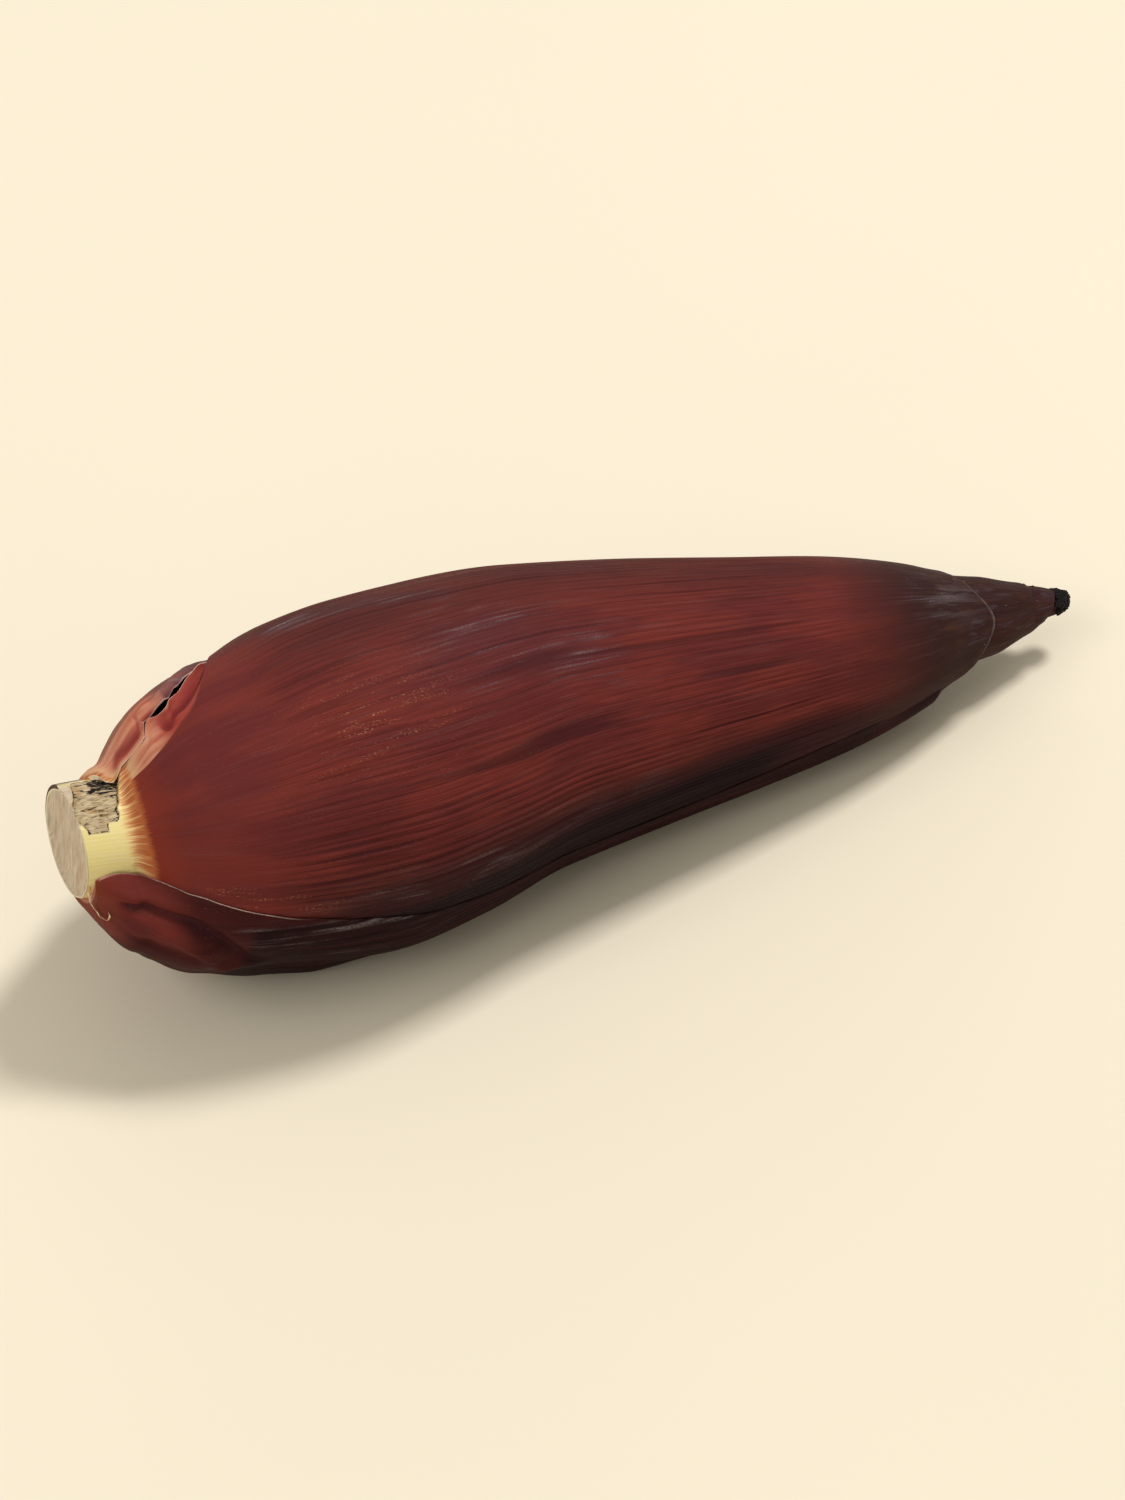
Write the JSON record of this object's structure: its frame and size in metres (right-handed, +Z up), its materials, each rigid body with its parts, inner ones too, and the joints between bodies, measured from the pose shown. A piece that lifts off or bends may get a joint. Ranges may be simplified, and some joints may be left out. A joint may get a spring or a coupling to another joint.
{
  "type": "banana blossom",
  "caption": "Cut banana flower bud lying on its side: leathery bracts overlap and taper to a point, over hands of slim florets on a short cut stalk.",
  "frame": {"origin": "on the surface the bud lies on, under the middle of its bounding box", "axes": "+X along the bud from the cut stalk to the pointed tip, +Y to its back, +Z up from the surface"},
  "size_m": [0.304, 0.0924, 0.092],
  "materials": {
    "bract_skin": "dark red waxy leathery bract with fine lengthwise ribs",
    "inner_bract_skin": "dark purple-brown satin bract",
    "stalk": "pale yellow cut stalk with a fibrous beige cut face and scar",
    "floret": "moist cream-white floret with a yellow tip"
  },
  "bodies": {
    "root": {"bract_1_under": "bract_skin", "bract_2_front": "bract_skin", "bract_3_back": "bract_skin", "bract_4_inner_low": "inner_bract_skin", "bract_5_inner_top": "inner_bract_skin", "heart": "inner_bract_skin", "stalk": "stalk", "floret_hand_1_under": "floret", "floret_hand_2_front": "floret", "floret_hand_3_back": "floret"}
  },
  "joints": []
}
